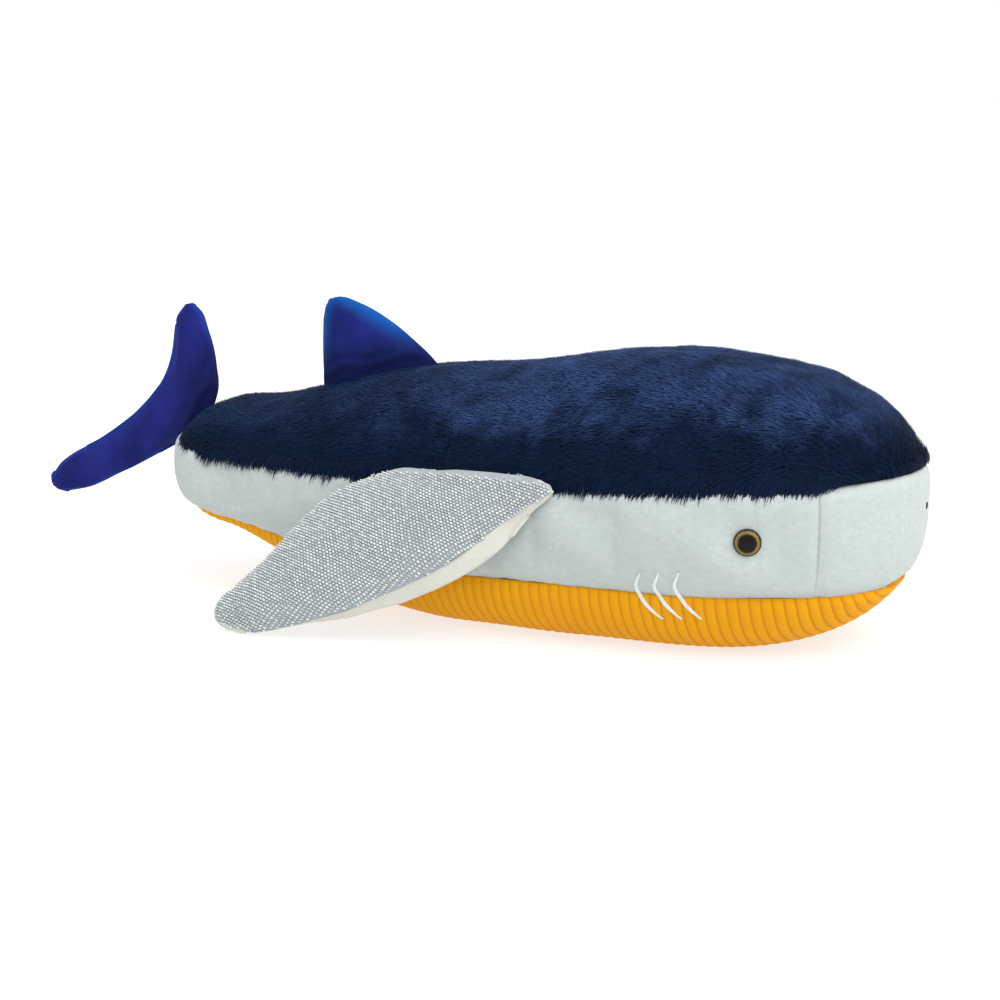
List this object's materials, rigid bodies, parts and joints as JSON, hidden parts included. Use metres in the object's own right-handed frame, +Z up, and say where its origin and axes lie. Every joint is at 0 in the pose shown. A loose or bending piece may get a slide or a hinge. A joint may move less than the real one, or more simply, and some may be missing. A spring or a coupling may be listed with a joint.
{
  "type": "plush shark",
  "caption": "Large stuffed shark with a furry back, ribbed belly, pale sides, stitched gill stripes, plastic eyes, soft side fins, back fin and crescent tail.",
  "frame": {"origin": "on the ground under the middle of the whole length", "axes": "+X towards the snout, +Y towards the left side, +Z up"},
  "size_m": [0.7823, 0.3546, 0.242],
  "materials": {
    "navy_fur": "long brushed pile",
    "pale_velour": "short velour pile",
    "yellow_corduroy": "wide-rib corduroy",
    "silver_weave": "chunky weave",
    "cream_velour": "short velour pile",
    "blue_velvet": "velvet",
    "blue_thread": "sewing thread",
    "white_thread": "satin stitch",
    "dark_thread": "satin stitch",
    "stuffing": "polyester fibre",
    "eye_plastic": "amber ring and black pupil under a clear dome",
    "washer_plastic": "moulded"
  },
  "bodies": {
    "body": {"back_panel": "navy_fur", "side_panel_right": "pale_velour", "side_panel_left": "pale_velour", "snout_panel": "pale_velour", "belly_panel": "yellow_corduroy", "body_stuffing": "stuffing", "eye_right": "eye_plastic", "eye_left": "eye_plastic", "eye_washer_right": "washer_plastic", "eye_washer_left": "washer_plastic", "gill_stripes_right": "white_thread", "gill_stripes_left": "white_thread", "nose_stitch": "dark_thread", "pectoral_root_thread_right": "white_thread", "pectoral_root_thread_left": "white_thread", "dorsal_root_thread": "blue_thread", "tail_root_thread": "blue_thread"},
    "pectoral_right": {"pectoral_top_right": "silver_weave", "pectoral_under_right": "cream_velour", "pectoral_stuffing_right": "stuffing"},
    "pectoral_left": {"pectoral_top_left": "silver_weave", "pectoral_under_left": "cream_velour", "pectoral_stuffing_left": "stuffing"},
    "dorsal_fin": {"dorsal_right": "blue_velvet", "dorsal_left": "blue_velvet", "dorsal_stuffing": "stuffing"},
    "tail_fin": {"tail_fin_right": "blue_velvet", "tail_fin_left": "blue_velvet", "tail_fin_stuffing": "stuffing"}
  },
  "joints": [
    {"name": "right_fin_flap", "type": "hinge", "parent": "body", "child": "pectoral_right", "pos_m": [-0.025, -0.1165, 0.119], "axis": [-0.9976, 0.0646, -0.0235], "range_deg": [-10, 110]},
    {"name": "left_fin_flap", "type": "hinge", "parent": "body", "child": "pectoral_left", "pos_m": [-0.025, 0.1165, 0.119], "axis": [0.9976, 0.0646, 0.0235], "range_deg": [-10, 110]},
    {"name": "dorsal_fin_flop", "type": "hinge", "parent": "body", "child": "dorsal_fin", "pos_m": [-0.113, 0, 0.1745], "axis": [0.977, 0, 0.2134], "range_deg": [-55, 55], "stiffness_Nm_per_rad": 0.05},
    {"name": "tail_fin_sway", "type": "hinge", "parent": "body", "child": "tail_fin", "pos_m": [-0.243, 0, 0.118], "axis": [0.4961, 0, 0.8682], "range_deg": [-45, 45], "stiffness_Nm_per_rad": 0.08}
  ]
}
